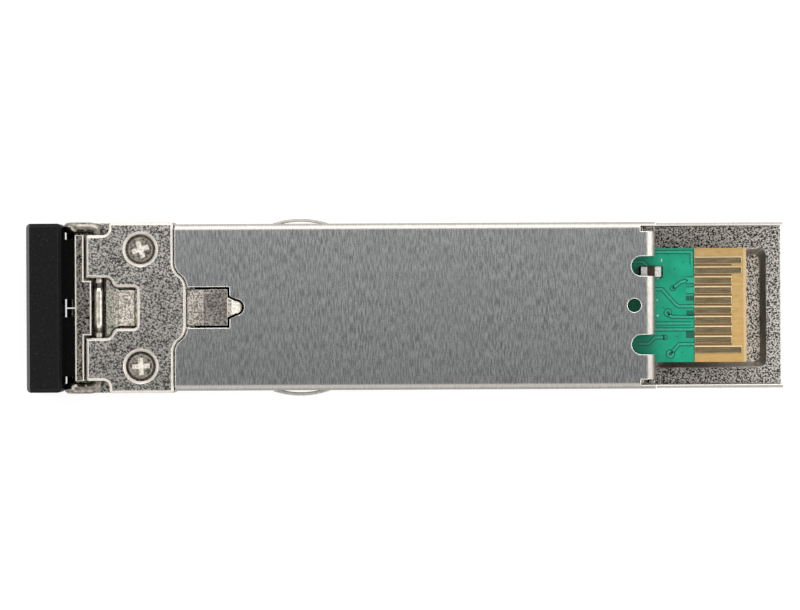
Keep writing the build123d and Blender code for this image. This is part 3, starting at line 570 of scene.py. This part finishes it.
def dress_nodes():
    """Gives each solid its finish."""
    cover = brushed_sheet()
    steel = bright_metal("turned_steel", (0.5, 0.48, 0.44))
    black = plug_moulding()
    chip = moulded("chip_moulding", (0.02, 0.02, 0.021), rough=0.45)
    film = moulded("flex_film", (0.4, 0.17, 0.02), fleck=1.2, rough=0.35, specular=0.5)
    gold = contact_gold()
    finish = {
        "base_housing": base_casting(), "front_plate": plate_casting(), "latch_lever": lever_casting(),
        "shield_cover": cover, "shielding_plate": cover, "front_screws": screw_steel(),
        "latch_pin": steel, "transmitter_barrel": steel, "receiver_barrel": steel,
        "bail_wire": wire_steel(),
        "dust_plug": black, "barrel_holder": black, "controller_chip": chip,
        "laser_driver_chip": chip, "receiver_amplifier_chip": chip, "memory_chip": chip,
        "chip_resistors": moulded("resistor_glaze", (0.03, 0.03, 0.034), rough=0.3, specular=0.5),
        "chip_capacitors": moulded("capacitor_ceramic", (0.06, 0.04, 0.025), fleck=1.3, rough=0.5),
        "thermal_pad": moulded("pad_silicone", (0.25, 0.27, 0.3), fleck=1.2, rough=0.8),
        "transmitter_flex": film, "receiver_flex": film,
        "ferrule_sleeves": moulded("zirconia", (0.8, 0.8, 0.76), fleck=1.1, rough=0.25, specular=0.5),
        "circuit_board": laminate(), "latch_side_contacts": gold, "label_side_contacts": gold,
        "transmitter_can": gold, "receiver_can": gold,
    }
    for name, solid in nodes.items():
        solid.data.materials.clear()
        solid.data.materials.append(finish[name])


def add_piece(name, mesh, material):
    """Turns a bmesh into a piece that rides on the module."""
    bmesh.ops.recalc_face_normals(mesh, faces=mesh.faces)
    data = bpy.data.meshes.new(name)
    mesh.to_mesh(data)
    mesh.free()
    data.materials.append(material)
    piece = bpy.data.objects.new(name, data)
    bpy.context.collection.objects.link(piece)
    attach(piece, "module")


def add_block(mesh, low, high):
    """Box between two corners, whose new vertices it returns."""
    size = Vector(high) - Vector(low)
    centre = (Vector(high) + Vector(low)) / 2
    return bmesh.ops.create_cube(mesh, size=1, matrix=Matrix.LocRotScale(centre, None, size))["verts"]


def add_disc(mesh, x, y, radius, bottom, top):
    """Round post on the board, with its place given in millimetres."""
    place = Matrix.Translation((x * MM, y * MM, (bottom + top) / 2))
    bmesh.ops.create_cone(mesh, cap_ends=True, segments=DISC_SEGMENTS, radius1=radius, radius2=radius,
                          depth=top - bottom, matrix=place)


def add_ribbon(mesh, path, width, bottom, top):
    """Flat bar along a path in millimetres in the board's plane, with mitred corners."""
    points = [Vector(point) * MM for point in path]
    steps = [(b - a).normalized() for a, b in zip(points, points[1:])]
    rows = []
    for index, point in enumerate(points):
        before = steps[max(index - 1, 0)]
        after = steps[min(index, len(steps) - 1)]
        along = (before + after).normalized()
        across = Vector((-along.y, along.x)) * (width / 2 / along.dot(after))
        corners = [(point - across, bottom), (point + across, bottom), (point + across, top),
                   (point - across, top)]
        rows.append([mesh.verts.new((place.x, place.y, z)) for place, z in corners])
    for row, following in zip(rows, rows[1:]):
        for k in range(4):
            mesh.faces.new((row[k], following[k], following[(k + 1) % 4], row[(k + 1) % 4]))
    mesh.faces.new(rows[0])
    mesh.faces.new(rows[-1])


def add_fields(mesh, fields, bottom, top):
    """Flat rectangles on the board, given in millimetres."""
    for x0, x1, y0, y1 in fields:
        add_block(mesh, (x0 * MM, y0 * MM, bottom), (x1 * MM, y1 * MM, top))


def stub_paths():
    """Short copper stubs that run from some contacts under the mask."""
    paths = []
    for row in STUB_ROWS:
        y = (row - (PAD_ROWS - 1) / 2) * PAD_PITCH / MM
        paths.append([(STUB_START, y), (STUB_END, y)])
    return paths


def copper_layer(name, width_change, level, material):
    """Traces, stubs and vias, `level` layers high and wider by `width_change` on each side."""
    board_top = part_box("circuit_board")[1][2]
    bottom = board_top - LAYER
    top = board_top + level * LAYER
    mesh = bmesh.new()
    for path in TRACES:
        add_ribbon(mesh, path, TRACE_WIDTH + 2 * width_change, bottom, top)
    for path in stub_paths():
        add_ribbon(mesh, path, STUB_WIDTH + 2 * width_change, bottom, top)
    for x, y, radius in VIAS:
        add_disc(mesh, x, y, radius * MM + width_change, bottom, top)
    add_piece(name, mesh, material)


def dark_details(material):
    """Dark discs as painted shade in the bores of the vias and in the plated holes, and bare fields."""
    board_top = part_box("circuit_board")[1][2]
    bottom = board_top - LAYER
    mesh = bmesh.new()
    for x, y, radius in VIAS:
        add_disc(mesh, x, y, radius * MM * VIA_BORE_SHARE, bottom, board_top + VIA_BORE_LAYERS * LAYER)
    for x, y in PIN_HOLES:
        add_disc(mesh, x, y, PIN_HOLE_RADIUS, bottom, board_top + LAYER)
    add_fields(mesh, DARK_FIELDS, bottom, board_top + LAYER)
    add_piece("dark_fields_and_hole_shade", mesh, material)


def white_marks():
    board_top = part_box("circuit_board")[1][2]
    mesh = bmesh.new()
    add_fields(mesh, WHITE_MARKS, board_top, board_top + 2 * LAYER)
    add_piece("white_marks", mesh, moulded("white_ink", (0.8, 0.8, 0.78), fleck=1.1))


def board_print():
    """What lies on the board: copper under the mask with dark outlines that are partly painted shade,
    painted shade in the holes, bare fields and marks.
    """
    shade_and_dark_mask = mask_film("mask_shade_and_dark", (0.002, 0.085, 0.055))
    # Dark outline round each trace, partly painted shade beside its raised edge
    copper_layer("trace_outlines_and_shade", TRACE_EDGE, 1, shade_and_dark_mask)
    copper_layer("traces", 0, 2, mask_film("mask_over_copper", (0.012, 0.33, 0.2)))
    dark_details(shade_and_dark_mask)
    white_marks()


def linked_group(start):
    """All vertices that edges join to one."""
    group = [start]
    found = {start}
    waiting = [start]
    while waiting:
        vertex = waiting.pop()
        for edge in vertex.link_edges:
            other = edge.other_vert(vertex)
            if other not in found:
                found.add(other)
                group.append(other)
                waiting.append(other)
    return group


def separate_boxes(solid):
    """Lowest and highest corner of each separate solid in a node."""
    mesh = bmesh.new()
    mesh.from_mesh(solid.data)
    done = set()
    boxes = []
    for vertex in mesh.verts:
        if vertex in done:
            continue
        group = linked_group(vertex)
        done.update(group)
        low = Vector([min(v.co[k] for v in group) for k in range(3)])
        high = Vector([max(v.co[k] for v in group) for k in range(3)])
        boxes.append((low, high))
    mesh.free()
    return boxes


def add_end_cap(mesh, low, high, side):
    """Metal cap over one end of a part, with rounded edges."""
    cap = TERMINAL_SHARE * (high.x - low.x)
    skin = Vector((TERMINAL_SKIN, TERMINAL_SKIN, TERMINAL_SKIN))
    cap_low = Vector(low)
    cap_high = Vector(high)
    if side > 0:
        cap_low.x = high.x - cap
    else:
        cap_high.x = low.x + cap
    corners = add_block(mesh, cap_low - skin, cap_high + skin)
    edges = list(dict.fromkeys(edge for corner in corners for edge in corner.link_edges))
    bmesh.ops.bevel(mesh, geom=edges, offset=TERMINAL_BEVEL, segments=TERMINAL_BEVEL_STEPS,
                    affect="EDGES")


def add_solder_foot(mesh, low, high, side):
    """Wedge of solder from the board up one end of a part."""
    end = high.x if side > 0 else low.x
    toe = end + side * SOLDER_REACH
    top = low.z + SOLDER_CLIMB * (high.z - low.z)
    foot = add_block(mesh, (min(end, toe), low.y, low.z), (max(end, toe), high.y, top))
    for corner in foot:
        if abs(corner.co.x - end) > SOLDER_REACH / 2 and corner.co.z > low.z + LAYER:
            corner.co.z = low.z + LAYER


def part_terminals():
    """Soldered ends of the two-terminal parts."""
    mesh = bmesh.new()
    for name in ("chip_capacitors", "chip_resistors"):
        for low, high in separate_boxes(nodes[name]):
            for side in (-1, 1):
                add_end_cap(mesh, low, high, side)
                add_solder_foot(mesh, low, high, side)
    tinned = bright_metal("tinned_ends", (0.6, 0.59, 0.57), rough=0.4, size=0.15 * MM)
    add_piece("part_terminals", mesh, tinned)


def make_world():
    """White to the rays that should see the background, and a plain level of light to the rest."""
    world = bpy.data.worlds.new("studio")
    bpy.context.scene.world = world
    m = Nodes(world, "ShaderNodeOutputWorld")
    mix = m.node("ShaderNodeMixShader")
    m.link(m.background_share(), mix.inputs[0])
    for slot, level in ((1, WORLD_LEVEL), (2, 1.0)):
        sky = m.node("ShaderNodeBackground")
        sky.inputs["Color"].default_value = (1, 1, 1, 1)
        sky.inputs["Strength"].default_value = level
        m.link(sky.outputs[0], mix.inputs[slot])
    m.link(mix.outputs[0], m.out.inputs["Surface"])


def floor_material():
    """White from above, and clear from below."""
    m = new_material("white_floor")
    matt = m.node("ShaderNodeBsdfDiffuse")
    matt.inputs["Color"].default_value = (FLOOR_COLOUR, FLOOR_COLOUR, FLOOR_COLOUR, 1)
    glow = m.node("ShaderNodeEmission")
    m.link(m.maths("MULTIPLY", m.background_share(), FLOOR_GLOW), glow.inputs["Strength"])
    white = m.node("ShaderNodeAddShader")
    m.link(matt.outputs[0], white.inputs[0])
    m.link(glow.outputs[0], white.inputs[1])
    clear = m.node("ShaderNodeBsdfTransparent")
    side = m.node("ShaderNodeMixShader")
    m.link(m.node("ShaderNodeNewGeometry").outputs["Backfacing"], side.inputs[0])
    m.link(white.outputs[0], side.inputs[1])
    m.link(clear.outputs[0], side.inputs[2])
    m.link(side.outputs[0], m.out.inputs["Surface"])
    return m.owner


def make_floor():
    mesh = bpy.data.meshes.new("floor")
    corners = [(x * FLOOR_HALF, y * FLOOR_HALF, -FLOOR_DROP)
               for x, y in ((-1, -1), (1, -1), (1, 1), (-1, 1))]
    mesh.from_pydata(corners, [], [(0, 1, 2, 3)])
    mesh.materials.append(floor_material())
    floor = bpy.data.objects.new("floor", mesh)
    bpy.context.collection.objects.link(floor)


def make_panel(name, azimuth, radiance):
    """Soft panel that faces the module from one side."""
    target = Vector((VIEW_CENTRE_X, 0, 0))
    flat = math.cos(PANEL_ELEVATION) * PANEL_DISTANCE
    offset = Vector((flat * math.cos(azimuth), flat * math.sin(azimuth),
                     math.sin(PANEL_ELEVATION) * PANEL_DISTANCE))
    light = bpy.data.lights.new(name, "AREA")
    light.shape = "RECTANGLE"
    light.size = PANEL_WIDTH
    light.size_y = PANEL_HEIGHT
    light.energy = radiance * math.pi * PANEL_WIDTH * PANEL_HEIGHT
    light.diffuse_factor = PANEL_DIFFUSE_SHARE
    lamp = bpy.data.objects.new(name, light)
    lamp.location = target + offset
    lamp.rotation_mode = "QUATERNION"
    lamp.rotation_quaternion = (-offset).to_track_quat("-Z", "Y")
    lamp.visible_camera = False
    bpy.context.collection.objects.link(lamp)


def make_panels():
    for index, (side, radiance) in enumerate(PANEL_RADIANCE.items()):
        make_panel(f"panel_{side}", math.radians(90 * index), radiance)


def make_camera():
    """Long lens straight above the module, which shows the photograph's width."""
    data = bpy.data.cameras.new("camera")
    width_mm = IMAGE_WIDTH_PX / PX_PER_MM
    data.sensor_width = SENSOR_MM
    data.lens = SENSOR_MM * (CAMERA_HEIGHT / MM) / width_mm
    data.clip_start = CLIP_NEAR
    data.clip_end = CLIP_FAR
    camera = bpy.data.objects.new("camera", data)
    camera.location = (VIEW_CENTRE_X, VIEW_CENTRE_Y, LATCH_FACE_Z + CAMERA_HEIGHT)
    camera.rotation_euler = (0, 0, VIEW_TURN)
    bpy.context.collection.objects.link(camera)
    bpy.context.scene.camera = camera


make_camera()
make_world()
make_floor()
make_panels()
dress_nodes()
board_print()
part_terminals()
bpy.context.scene.view_settings.view_transform = "Standard"
